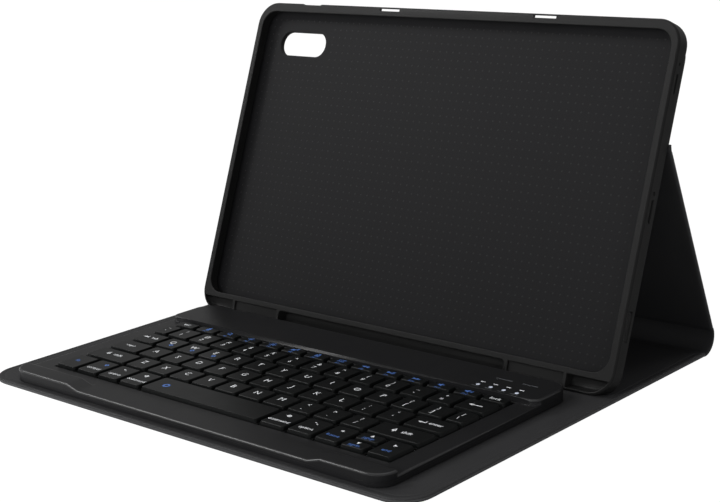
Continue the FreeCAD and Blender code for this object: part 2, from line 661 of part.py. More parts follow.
def make_switchgear(keys):
    """Plate, membrane and domes under the keys, and the keys themselves."""
    half = KEYS_WIDTH / 2 + PLATE_MARGIN
    y0 = KEYS_Y0 - PLATE_MARGIN
    y1 = STRIP_Y0 - KEY_GAP / 2
    save("key_support_plate", [slab(-half, half, y0, y1, FLOOR_Z, PLATE_Z)])
    membrane = block(-half, half, y0, y1, PLATE_Z, MEMBRANE_Z)
    tail_x = HALF_KEYBOARD - PCB_TO_END - PCB_LENGTH
    tail_y1 = INNER_REAR - PCB_DEPTH + TAIL_LAP
    tail = block(tail_x, tail_x + TAIL_WIDTH, y1, tail_y1, PLATE_Z, MEMBRANE_Z)
    save("switch_membrane", [membrane.fuse(tail).removeSplitter()])
    save("rubber_domes", [dome(cell) for cells in keys.values() for cell in cells])
    for group, cells in keys.items():
        save(group, [keycap(cell) for cell in cells])


def make_electronics():
    """Control board, cell, charging socket, power switch and status lights under the rear strip."""
    pcb_x1 = HALF_KEYBOARD - PCB_TO_END
    pcb_y0 = INNER_REAR - PCB_DEPTH
    save("control_board", [block(pcb_x1 - PCB_LENGTH, pcb_x1, pcb_y0, INNER_REAR, FLOOR_Z, PLATE_Z)])
    cell_x0 = -HALF_KEYBOARD + BATTERY_TO_END
    cell_y1 = INNER_REAR
    save("battery_cell", [slab(cell_x0, cell_x0 + BATTERY_L, cell_y1 - BATTERY_D, cell_y1, FLOOR_Z,
                               FLOOR_Z + BATTERY_T, 4 * (BATTERY_T / 2,))])
    half_w = USB_W / 2 - USB_SHELL_T
    mouth = block(USB_X - half_w, USB_X + half_w, KEYBOARD_Y1 - USB_D + USB_SHELL_T, KEYBOARD_Y1 + 1,
                  PLATE_Z + USB_SHELL_T, PLATE_Z + USB_H - USB_SHELL_T)
    save("charging_socket", [usb_room(0).cut(mouth)])
    half_switch = SWITCH_W / 2
    switch_y1 = INNER_REAR - CASE_PLAY
    save("power_switch_body", [block(SWITCH_X - half_switch, SWITCH_X + half_switch, switch_y1 - SWITCH_D,
                                     switch_y1, PLATE_Z, PLATE_Z + SWITCH_H)])
    save("power_switch_knob", [knob_room(0, 0)])
    save("status_lights", [disc(x, y, PLATE_Z, STRIP_Z, LIGHT_R) for x, y in light_spots()])


def main():
    """Write every piece of the case."""
    os.makedirs("parts", exist_ok=True)
    keys = key_table()
    make_base()
    make_spine()
    make_kickstand()
    make_tray()
    make_keyboard_case(keys)
    make_switchgear(keys)
    make_electronics()
    slope, length = stand_shape()
    fold = fold_point()
    print("case depth %.3f, spine axis y %.3f z %.3f" % (CASE_DEPTH, SPINE_Y, SPINE_R))
    print("fold axis y %.3f z %.3f, kickstand slope %.3f length %.3f" % (fold.y, fold.z, slope, length))
    print("tray foot y %.3f z %.3f, tray %.1f x %.1f x %.1f" % (FOOT_Y, FOOT_Z, TRAY_W, TRAY_H, TRAY_T))
    print("bay depth %.3f, bay middle %.3f" % (LIP_T + BAY_T, FOOT_H + BAY_H / 2))
    print("keyboard y %.3f to %.3f, keys from y %.3f" % (KEYBOARD_Y0, KEYBOARD_Y1, KEYS_Y0))


main()
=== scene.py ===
import json
import logging
import math
from dataclasses import dataclass, field
from enum import Enum
from typing import Callable, Iterable, Sequence

import bmesh
import bpy
from mathutils import Matrix, Vector


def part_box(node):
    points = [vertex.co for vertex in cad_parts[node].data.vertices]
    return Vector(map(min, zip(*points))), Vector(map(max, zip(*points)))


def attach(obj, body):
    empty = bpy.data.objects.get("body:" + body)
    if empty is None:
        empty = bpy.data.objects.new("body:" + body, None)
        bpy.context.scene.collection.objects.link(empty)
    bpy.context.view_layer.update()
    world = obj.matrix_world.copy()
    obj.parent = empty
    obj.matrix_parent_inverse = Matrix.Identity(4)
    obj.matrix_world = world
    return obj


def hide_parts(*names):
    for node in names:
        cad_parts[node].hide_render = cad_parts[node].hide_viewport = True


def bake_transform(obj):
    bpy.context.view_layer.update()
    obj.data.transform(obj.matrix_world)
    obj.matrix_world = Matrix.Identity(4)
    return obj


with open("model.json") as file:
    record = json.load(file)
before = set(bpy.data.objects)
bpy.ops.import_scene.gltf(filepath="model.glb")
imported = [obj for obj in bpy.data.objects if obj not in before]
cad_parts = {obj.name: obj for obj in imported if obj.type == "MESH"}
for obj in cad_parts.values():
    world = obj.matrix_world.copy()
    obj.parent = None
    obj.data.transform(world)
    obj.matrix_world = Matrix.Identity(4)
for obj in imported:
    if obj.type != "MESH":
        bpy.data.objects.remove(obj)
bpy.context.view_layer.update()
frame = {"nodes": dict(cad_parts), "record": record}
RECORD = frame["record"]
JOINTS = {joint["name"]: joint for joint in RECORD["behaviour"]["joints"]}
LOG = logging.getLogger("keyboard_case")
MM = 0.001
# Distances, in metres, below which points are one.
MERGE = 0.002 * MM
HAIR = 0.0001 * MM
# Angles between faces, in degrees, below which an edge is flat and above which it is rounded.
FLAT_DEG = 0.5
SHARP_DEG = 28.0
# Share of half its width that a slot's corner radius takes.
SLOT_ROUND = 0.96
Point = tuple[float, float]
Place = tuple[float, float, float]
Polygon = list[Point]


class Grain(Enum):
    """Fine surface texture of a finish."""

    LEATHER = "leather"
    MOULDED = "moulded"


class Ink(Enum):
    """Colour of a printed mark; the value is its material slot."""

    WHITE = 0
    BLUE = 1
    FAINT = 2


@dataclass(frozen=True)
class Finish:
    """Colour and surface of one material."""

    name: str
    colour: str
    roughness: float
    specular: float = 0.5
    metallic: float = 0.0
    grain: Grain = Grain.MOULDED
    grain_mm: float = 0.4
    bump_mm: float = 0.004
    glow: float = 0.0


# Polyurethane leather, pressed with a fine pebble grain: a soft satin grey with no clear reflections. The
# pebbles are drawn at twice their real size, so that they show.
LEATHER = Finish("pressed polyurethane leather", "#3b3b3c", 0.55, 0.32, grain=Grain.LEATHER, grain_mm=0.9,
                 bump_mm=0.05)
# Microfibre-backed leather on the inside: flatter and darker than the outside.
LINING = Finish("brushed polyurethane lining", "#252526", 0.6, 0.27, grain=Grain.LEATHER, grain_mm=0.7,
                bump_mm=0.04)
# Soft thermoplastic, moulded against a sparked steel tool: near black, with a dull sheen.
TRAY_RIM = Finish("moulded thermoplastic", "#171717", 0.46, 0.14, grain_mm=0.35, bump_mm=0.01)
# The same plastic, sparked more coarsely on the floor: dull, with a faint sparkle of its dots.
TRAY_FLOOR = Finish("coarsely sparked tray floor", "#111112", 0.6, 0.13, grain_mm=0.7, bump_mm=0.02)
# The dots of that floor, worn a little smoother than the plastic between them.
TRAY_DOTS = Finish("moulded floor dots", "#1a1a1a", 0.5, 0.16)
# ABS, moulded with a fine matt texture: black, slightly glossy at a low angle.
CASE = Finish("moulded ABS", "#141415", 0.38, 0.2, grain_mm=0.45, bump_mm=0.012)
# Painted shade: the deck round and between the keys, painted near black and matt where shade falls between
# them.
PAINTED_WELL_SHADE = Finish("painted shade of the key wells", "#040404", 0.7, 0.1)
# Edges of the case: glossier than the case, and painted a shade lighter as a painted highlight along them.
CASE_EDGE_HIGHLIGHT = Finish("ABS edge with painted highlight", "#1a1a1b", 0.34, 0.5)
# Moulded keycaps, a shade darker and smoother than the case.
KEY = Finish("moulded ABS keycap", "#080909", 0.36, 0.17, grain_mm=0.3, bump_mm=0.006)
# Pad-printed inks: thin, flat and a little glossy.
WHITE_INK = Finish("white pad print", "#e4e6e9", 0.5, 0.4)
BLUE_INK = Finish("blue pad print", "#4668a8", 0.5, 0.4)
FAINT_INK = Finish("faint pad print", "#56585b", 0.5, 0.3)
# Silicone, moulded and dusted: black and without shine.
RUBBER = Finish("moulded silicone rubber", "#202020", 0.8, 0.3, bump_mm=0.01)
# Thin nickel on steel: bright, slightly clouded.
STEEL = Finish("nickel-plated steel", "#b9bcc0", 0.3, metallic=1.0)
# Rolled sheet and foil: pale grey with a soft shine.
ALUMINIUM = Finish("rolled aluminium", "#a9adb1", 0.35, metallic=1.0, grain_mm=0.6)
# Polyester film with screen-printed tracks: milky and smooth.
FILM = Finish("printed polyester film", "#c9cdd0", 0.3, bump_mm=0.002)
# Pressed paper fibre: dry, grey and flecked.
BOARD = Finish("grey pressed board", "#3a3836", 0.85, 0.3, grain_mm=0.8, bump_mm=0.04)
# Glass-fibre board under green lacquer: even, with half a shine.
CIRCUIT = Finish("lacquered circuit board", "#1f4a33", 0.45, grain_mm=0.8, bump_mm=0.01)
# Clear light guides, lit from below.
LIGHT = Finish("lit acrylic light guide", "#cfd6e6", 0.25, 0.5, glow=0.1)

SLOT_FINISH = {
    "cover_leather": LEATHER, "lining": LINING, "stiff_board": BOARD, "tray_plastic": TRAY_RIM,
    "keyboard_plastic": CASE, "key_plastic": KEY, "pad_rubber": RUBBER, "steel": STEEL,
    "plate_aluminium": ALUMINIUM, "clear_film": FILM, "circuit_board": CIRCUIT,
    "cell_foil": ALUMINIUM, "light_guide": LIGHT,
}


def linear(colour: str) -> tuple[float, float, float, float]:
    """Turn an sRGB hex colour into linear light.

    Args:
        colour: Six hex digits after a hash sign.

    Returns:
        Red, green, blue and full alpha.
    """
    parts = []
    for start in (1, 3, 5):
        value = int(colour[start:start + 2], 16) / 255
        parts.append(value / 12.92 if value <= 0.04045 else ((value + 0.055) / 1.055) ** 2.4)
    return parts[0], parts[1], parts[2], 1.0


def add_node(tree: bpy.types.NodeTree, kind: str, *inputs: object, **values: object) -> bpy.types.Node:
    """Add a node, set its properties, and set or link its inputs.

    Args:
        tree: Tree that takes the node.
        kind: Node type.
        *inputs: Values or sockets for the first inputs, in order.
        **values: Properties, in small letters, and values or sockets for inputs, with a capital and with
            underscores for spaces.

    Returns:
        The new node.
    """
    node = tree.nodes.new(kind)
    plan = []
    for name, value in values.items():
        if name.islower():
            setattr(node, name, value)
        else:
            plan.append((node.inputs[name.replace("_", " ")], value))
    for socket, value in plan + list(zip(node.inputs, inputs)):
        if isinstance(value, bpy.types.NodeSocket):
            tree.links.new(value, socket)
        else:
            socket.default_value = value
    return node


def empty_tree(owner: bpy.types.Material | bpy.types.World) -> bpy.types.NodeTree:
    """Switch on the nodes of a material or world, and clear them.

    Args:
        owner: Material or world.

    Returns:
        Its empty tree.
    """
    owner.use_nodes = True
    owner.node_tree.nodes.clear()
    return owner.node_tree


def add_object(name: str, data: bpy.types.ID) -> bpy.types.Object:
    """Put new data in the scene.

    Args:
        name: Name of the object.
        data: Mesh, text, camera or light.

    Returns:
        The object, at the origin.
    """
    item = bpy.data.objects.new(name, data)
    bpy.context.scene.collection.objects.link(item)
    return item


@dataclass
class Palette:
    """Makes each material once."""

    made: dict[str, bpy.types.Material] = field(default_factory=dict)

    RELIEF = 0.6
    CLOUD = 40
    ROUGH_SPREAD = 0.05
    COLOUR_SPREAD = 0.15

    def material(self, finish: Finish) -> bpy.types.Material:
        """Shared material of a finish, made at its first use."""
        self.made[finish.name] = self.made.get(finish.name) or self._build(finish)
        return self.made[finish.name]

    def materials(self, *finishes: Finish) -> list[bpy.types.Material]:
        """Materials of several finishes, in order."""
        return [self.material(finish) for finish in finishes]

    def _build(self, finish: Finish) -> bpy.types.Material:
        """Make the material of a finish.

        Args:
            finish: Colour and surface.

        Returns:
            New material.
        """
        material = bpy.data.materials.new(finish.name)
        tree = empty_tree(material)
        shader = add_node(tree, "ShaderNodeBsdfPrincipled", Metallic=finish.metallic,
                          Specular_IOR_Level=finish.specular, Emission_Color=linear(finish.colour),
                          Emission_Strength=finish.glow, **self._grain(tree, finish))
        add_node(tree, "ShaderNodeOutputMaterial", Surface=shader.outputs["BSDF"])
        return material

    def _grain(self, tree: bpy.types.NodeTree, finish: Finish) -> dict[str, bpy.types.NodeSocket]:
        """Make the fine relief, clouded roughness and slightly uneven colour of a finish.

        Args:
            tree: Tree of the material.
            finish: Colour and surface.

        Returns:
            Sockets for the shader's inputs.
        """
        coords = add_node(tree, "ShaderNodeTexCoord").outputs["Object"]
        scale = 1 / (finish.grain_mm * MM)
        if finish.grain is Grain.LEATHER:
            height = add_node(tree, "ShaderNodeTexVoronoi", Vector=coords, Scale=scale).outputs["Distance"]
        else:
            height = add_node(tree, "ShaderNodeTexNoise", Vector=coords, Scale=scale).outputs["Fac"]
        bump = add_node(tree, "ShaderNodeBump", Height=height, Strength=self.RELIEF,
                        Distance=finish.bump_mm * MM)
        noise = add_node(tree, "ShaderNodeTexNoise", Vector=coords, Scale=scale / self.CLOUD, Detail=3.0)
        cloud = noise.outputs["Fac"]
        rough = add_node(tree, "ShaderNodeMapRange", Value=cloud,
                         To_Min=finish.roughness - self.ROUGH_SPREAD,
                         To_Max=finish.roughness + self.ROUGH_SPREAD)
        shade = add_node(tree, "ShaderNodeMapRange", Value=cloud, To_Min=1 - self.COLOUR_SPREAD,
                         To_Max=1 + self.COLOUR_SPREAD)
        tint = add_node(tree, "ShaderNodeHueSaturation", Value=shade.outputs["Result"],
                        Color=linear(finish.colour))
        return {"Base_Color": tint.outputs["Color"], "Roughness": rough.outputs["Result"],
                "Normal": bump.outputs["Normal"]}


def new_piece(name: str, bm: bmesh.types.BMesh, place: Matrix, materials: Sequence[bpy.types.Material],
              sharp_deg: float = 45.0) -> bpy.types.Object:
    """Turn a bmesh into a shown object with its place in its vertices.

    Args:
        name: Name of the object.
        bm: Shape in its own frame; it is freed.
        place: Transform from that frame to the case's.
        materials: Material slots.
        sharp_deg: Edges sharper than this stay sharp.

    Returns:
        The object, at the origin.
    """
    bmesh.ops.transform(bm, matrix=place, verts=bm.verts)
    bmesh.ops.recalc_face_normals(bm, faces=bm.faces)
    for face in bm.faces:
        face.smooth = True
    mesh = bpy.data.meshes.new(name)
    bm.to_mesh(mesh)
    bm.free()
    mesh.set_sharp_from_angle(angle=math.radians(sharp_deg))
    for material in materials:
        mesh.materials.append(material)
    return add_object(name, mesh)


def settle(piece: bpy.types.Object) -> None:
    """Apply a piece's modifiers to its mesh.

    Args:
        piece: Object whose modifiers are applied and removed.
    """
    depsgraph = bpy.context.evaluated_depsgraph_get()
    mesh = bpy.data.meshes.new_from_object(piece.evaluated_get(depsgraph))
    piece.modifiers.clear()
    piece.data = mesh


def loft(loops: Sequence[Sequence[Sequence[float]]], ring: bool = False) -> bmesh.types.BMesh:
    """Closed skin over loops of equal length, with flat ends or joined into a ring.

    Args:
        loops: Loops of points, in order.
        ring: Join the last loop to the first.

    Returns:
        The skin.
    """
    bm = bmesh.new()
    rows = [[bm.verts.new(point) for point in loop] for loop in loops]
    count = len(rows[0])
    for low, high in zip(rows, rows[1:] + rows[:1] if ring else rows[1:]):
        for i in range(count):
            j = (i + 1) % count
            bm.faces.new((low[i], low[j], high[j], high[i]))
    if not ring:
        bm.faces.new(list(reversed(rows[0])))
        bm.faces.new(rows[-1])
    return bm


@dataclass(frozen=True)
class Slab:
    """Rounded rectangle in millimetres; its radii run anticlockwise from the front left corner."""

    half_x: float
    y0: float
    y1: float
    radii: Sequence[float]

    STEPS = 10
    LEAST = 0.05
    CORNERS = ((-1, -1, 180), (1, -1, 270), (1, 1, 0), (-1, 1, 90))

    def loop(self, inset: float, z: float) -> list[Vector]:
        """Draw the outline once.

        Args:
            inset: Distance in from the outline.
            z: Height.

        Returns:
            Points, anticlockwise.
        """
        points = []
        for (side, end, start), radius in zip(self.CORNERS, self.radii):
            r = max(radius - inset, self.LEAST)
            cx = side * (self.half_x - inset - r)
            cy = self.y0 + inset + r if end < 0 else self.y1 - inset - r
            for k in range(self.STEPS + 1):
                angle = math.radians(start + 90 * k / self.STEPS)
                points.append(Vector((cx + r * math.cos(angle), cy + r * math.sin(angle), z)))
        return points

    def loops(self, profile: Iterable[Point]) -> list[list[Vector]]:
        """Draw the outline at each inset and height of a profile."""
        return [self.loop(inset, z) for inset, z in profile]


def box_of(points: Iterable[Vector]) -> tuple[Vector, Vector]:
    """Lowest and highest corner of the box round some points."""
    spread = list(zip(*points))
    return Vector([min(values) for values in spread]), Vector([max(values) for values in spread])


def carve(piece: bpy.types.Object, loops: Sequence[Sequence[Vector]], place: Matrix, operation: str) -> None:
    """Cut a lofted form out of a piece, or cut the piece back to it.

    Args:
        piece: Piece to cut.
        loops: Loops of the form.
        place: Transform from the loops' frame to the case's.
        operation: Blender's name of the operation: DIFFERENCE or INTERSECT.
    """
    cutter = new_piece("cutter", loft(loops), place, [])
    cut = piece.modifiers.new("cut", "BOOLEAN")
    cut.object = cutter
    cut.operation = operation
    cut.solver = "EXACT"
    settle(piece)
    bpy.data.objects.remove(cutter)


def soften(node: str, width_mm: float, materials: Sequence[bpy.types.Material], segments: int = 2,
           broad_mm: float = 0.0, broad: Callable[[Vector], bool] | None = None,
           clamp: bool = True) -> bpy.types.Object:
    """Copy of a CAD node with its sharp edges rounded.

    Args:
        node: CAD node.
        width_mm: Width of the rounding.
        materials: Material slots; the last one goes on the broadest roundings.
        segments: Steps across the rounding.
        broad_mm: Width of a broader rounding.
        broad: Says from the middle of an edge whether it takes the broader rounding.
        clamp: Narrow all roundings to what the shortest edge can take.

    Returns:
        The rounded copy, which still has to ride and replace.
    """
    bm = bmesh.new()
    bm.from_mesh(frame["nodes"][node].data)
    bmesh.ops.remove_doubles(bm, verts=bm.verts, dist=MERGE)
    bmesh.ops.dissolve_limit(bm, angle_limit=math.radians(FLAT_DEG), verts=bm.verts, edges=bm.edges)
    bmesh.ops.recalc_face_normals(bm, faces=bm.faces)
    for face in bm.faces:
        face.material_index = 0
    sharp = [edge for edge in bm.edges if edge.is_manifold and edge.is_convex
             and edge.calc_face_angle(0.0) > math.radians(SHARP_DEG)]
    wide = [edge for edge in sharp if broad and broad((edge.verts[0].co + edge.verts[1].co) / 2 / MM)]
    chosen = set(wide)
    fine = [edge for edge in sharp if edge not in chosen]
    last = len(materials) - 1
    plan = ((wide, broad_mm, segments + 1, last), (fine, width_mm, segments, 0 if wide else last))
    for edges, width, steps, slot in plan:
        edges = [edge for edge in edges if edge.is_valid]
        if edges:
            bmesh.ops.bevel(bm, geom=edges, offset=width * MM, offset_type="OFFSET", segments=steps,
                            profile=0.5, material=slot, clamp_overlap=clamp, affect="EDGES")
    piece = new_piece(node + "_look", bm, Matrix(), materials)
    even_out(piece)
    return piece


def even_out(piece: bpy.types.Object, sharp_deg: float = 50.0) -> None:
    """Shade large faces flat up to their rounded or sharp edges.

    Args:
        piece: Object whose normals are set.
        sharp_deg: Edges sharper than this stay sharp.
    """
    piece.data.set_sharp_from_angle(angle=math.radians(sharp_deg))
    weigh = piece.modifiers.new("even", "WEIGHTED_NORMAL")
    weigh.keep_sharp = True
    settle(piece)


def give(piece: bpy.types.Object, body: str, slot: str, *nodes: str) -> None:
    """Put a piece on a body in place of CAD nodes.

    Args:
        piece: Finished piece.
        body: CAD body that it rides on.
        slot: Record's material slot; not used.
        *nodes: CAD nodes that it stands for.
    """
    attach(piece, body)
    if nodes:
        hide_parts(*nodes)
    LOG.info("%s on %s", piece.name, body)


@dataclass(frozen=True)
class Stand:
    """Places of the leaning pieces, in millimetres, worked out from the joints and the CAD boxes."""

    spine: Vector
    fold: Vector
    slope: float
    lean: float
    foot: Vector

    @classmethod
    def measure(cls) -> "Stand":
        """Read the stand's shape from the part.

        Returns:
            The stand's shape.
        """
        hinge = JOINTS["stand_hinge"]
        turn = JOINTS["fold_hinge"]
        low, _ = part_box("tray_shell")
        opening = hinge["range_deg"][1]
        return cls(
            spine=Vector(hinge["pos_m"]) / MM,
            fold=Vector(turn["pos_m"]) / MM,
            slope=math.radians(180 - opening),
            lean=math.radians(opening - turn["range_deg"][1]),
            foot=Vector((0, low[1] / MM, low[2] / MM)),
        )

    def kickstand_place(self) -> Matrix:
        """Frame of the kickstand: Y from the spine to the fold, Z towards the tray.

        Returns:
            Transform from millimetres in that frame to the case.
        """
        radius = self.spine.z
        along = Vector((0, math.sin(self.slope), math.cos(self.slope)))
        turn = Matrix.Rotation(math.pi - self.slope, 4, "X")
        return Matrix.Scale(MM, 4) @ Matrix.Translation(self.spine + along * radius) @ turn

    def tray_place(self) -> Matrix:
        """Transform from millimetres in the tray's frame, Y up it and Z out of its front, to the case."""
        return Matrix.Scale(MM, 4) @ Matrix.Translation(self.foot) @ Matrix.Rotation(self.lean, 4, "X")


@dataclass
class Cover:
    """Leather panels, spine and fold, with sizes in millimetres."""

    palette: Palette
    stand: Stand
    thickness: float = 2.2
    back_t: float = 1.5
    spine_t: float = 1.3
    fold_t: float = 1.6
    fold_reach: float = 1.9
    fold_inset: float = 0.1
    gap: float = 0.3
    corner: float = 14.0
    square: float = 0.6
    edge: float = 0.9
    hem: float = 3.0
    groove: float = 0.14
    window: tuple[float, float, float, float] = (-115.0, -83.0, 142.4, 155.4)
    window_play: float = 0.6

    # Way in from a strip's side edge, and share of its full thickness there.
    STRIP_EDGE = ((0.0, 0.3), (0.12, 0.66), (0.4, 0.9), (0.9, 1.0))
    # Share of a panel's thickness from which on it is lined.
    LINED = 0.75
    SHARP = 60.0

    @property
    def clear(self) -> float:
        """Distance from the fold's axis to the panels beside it."""
        return self.thickness / 2 + self.gap

    def panel(self, name: str, slab: Slab, place: Matrix, t: float,
              hem_inside: bool = True) -> bpy.types.Object:
        """Panel with rounded edges and a pressed hem line on its faces.

        Args:
            name: Name of the piece.
            slab: Outline in the panel's frame.
            place: Transform to the case.
            t: Thickness.
            hem_inside: Press the hem line into the lining too.

        Returns:
            The panel, leather outside and lining inside.
        """
        flank = 0.3
        face = [(self.hem + 4 * flank, 0.0), (self.hem + flank, 0.0), (self.hem, self.groove),
                (self.hem - flank, 0.02)]
        steps = 8
        rounds = []
        for k in range(steps + 1):
            angle = math.radians(-90 + 180 * k / steps)
            rounds.append((self.edge * (1 - math.cos(angle)), t / 2 + t / 2 * math.sin(angle)))
        profile = face + rounds + [(inset, t - z * hem_inside) for inset, z in reversed(face)]
        bm = loft(slab.loops(profile))
        for item in bm.faces:
            item.material_index = int(item.calc_center_median().z > t * self.LINED)
        return new_piece(name, bm, place, self.palette.materials(LEATHER, LINING), self.SHARP)

    def strip(self, name: str, middle: Sequence[Point], thick: float, half_x: float) -> bpy.types.Object:
        """Strip of leather that follows a line in the side view, lined on the line's left.

        Args:
            name: Name of the piece.
            middle: Points y, z of its middle line.
            thick: Thickness.
            half_x: Half width.

        Returns:
            The strip.
        """
        line = [Vector((0, y, z)) for y, z in middle]
        normals = []
        for i in range(len(line)):
            run = line[min(i + 1, len(line) - 1)] - line[max(i - 1, 0)]
            normals.append(Vector((0, -run.z, run.y)).normalized())
        loops = [(-half_x + inset, share) for inset, share in self.STRIP_EDGE]
        loops += [(-x, share) for x, share in reversed(loops)]
        shapes = []
        for x, share in loops:
            half = thick / 2 * share
            outer = [p + n * half + Vector((x, 0, 0)) for p, n in zip(line, normals)]
            inner = [p - n * half + Vector((x, 0, 0)) for p, n in zip(line, normals)]
            shapes.append(outer + inner[::-1])
        bm = loft(shapes)
        count = 2 * len(line)
        for i, face in enumerate(bm.faces):
            if i < count * (len(loops) - 1) and i % count < len(line) - 1:
                face.material_index = 1
        materials = self.palette.materials(LEATHER, LINING)
        return new_piece(name, bm, Matrix.Scale(MM, 4), materials, self.SHARP)

    def build(self) -> None:
        """Build the covers and put them on their bodies."""
        low, high = (Vector(corner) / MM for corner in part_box("base_outer_cover"))
        half = high.x
        slab = Slab(half, low.y, high.y, (self.corner, self.corner, self.square, self.square))
        base = self.panel("base_panel", slab, Matrix.Scale(MM, 4), self.thickness)
        give(base, "base", "cover_leather", "base_outer_cover", "base_inner_lining")

        fold, spine, slope = self.stand.fold, self.stand.spine, self.stand.slope
        reach = math.hypot(fold.y - spine.y, fold.z - spine.z)
        length = math.sqrt(reach ** 2 - (spine.z - self.thickness / 2) ** 2)
        slab = Slab(half, self.gap, length - self.clear, 4 * (self.square,))
        place = self.stand.kickstand_place()
        kick = self.panel("kickstand_panel", slab, place, self.thickness, hem_inside=False)
        give(kick, "kickstand", "cover_leather", "kickstand_outer_cover", "kickstand_inner_lining")

        radius = spine.z - self.spine_t / 2
        lap = 0.06
        steps = 28
        first = -math.pi / 2 - lap
        last = math.pi / 2 - slope + lap
        arc = [first + (last - first) * k / steps for k in range(steps + 1)]
        line = [(spine.y + radius * math.cos(a), spine.z + radius * math.sin(a)) for a in arc]
        bend = self.strip("spine_leather", line, self.spine_t, half)
        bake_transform(bend)
        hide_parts("spine_bend")
        LOG.info("%s between base and kickstand", bend.name)
        self.build_fold(half)
        self.build_back()

    def build_back(self) -> None:
        """Build the upper back cover with its camera window, and the moulded ring in the window."""
        fold = self.stand.tray_place().inverted() @ (self.stand.fold * MM)
        back = fold.z + self.clear
        place = self.stand.tray_place() @ Matrix.Translation((0, 0, back - self.back_t))
        low, high = (Vector(corner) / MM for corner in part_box("upper_back_cover"))
        rise = (high.z - low.z - self.back_t * math.cos(self.stand.lean)) / math.sin(self.stand.lean)
        y0 = fold.y + self.clear
        slab = Slab(high.x, y0, y0 + rise, (self.square, self.square, self.corner, self.corner))
        cover = self.panel("upper_back_panel", slab, place, self.back_t)
        x0, x1, v0, v1 = self.window
        window = Slab((x1 - x0) / 2, v0, v1, 4 * ((v1 - v0) / 2 * SLOT_ROUND,))
        shift = Matrix.Translation(((x0 + x1) / 2, 0, 0))
        beyond = 2.0
        loops = window.loops((-self.window_play, z) for z in (-beyond, self.back_t + beyond))
        carve(cover, loops, place @ shift, "DIFFERENCE")
        even_out(cover)
        give(cover, "tray", "cover_leather", "upper_back_cover")
        profile = ((0.0, self.back_t), (-0.5, self.back_t), (-0.5, -0.1), (-0.35, -0.3), (-0.12, -0.3),
                   (0.0, -0.15))
        bm = loft(window.loops(profile), ring=True)
        ring = new_piece("window_ring", bm, place @ shift, self.palette.materials(TRAY_RIM))
        give(ring, "tray", "tray_plastic")

    def build_fold(self, half: float) -> None:
        """Build the soft valley between the kickstand and the back cover.

        Args:
            half: Half width of the covers.
        """
        slope, lean = self.stand.slope, self.stand.lean
        reach = self.fold_reach
        forward = self.clear - self.back_t / 2
        fold = self.stand.fold.yz
        low = fold + reach * Vector((math.cos(slope), -math.sin(slope)))
        high = fold + reach * Vector((math.cos(lean), math.sin(lean)))
        high += forward * Vector((-math.sin(lean), math.cos(lean)))
        steps = 12
        shares = [k / steps for k in range(steps + 1)]
        line = [low.lerp(fold, t).lerp(fold.lerp(high, t), t) for t in shares]
        strip = self.strip("fold_leather", line, self.fold_t, half - self.fold_inset)
        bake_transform(strip)
        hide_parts("fold_crease")
        LOG.info("%s between kickstand and tray", strip.name)


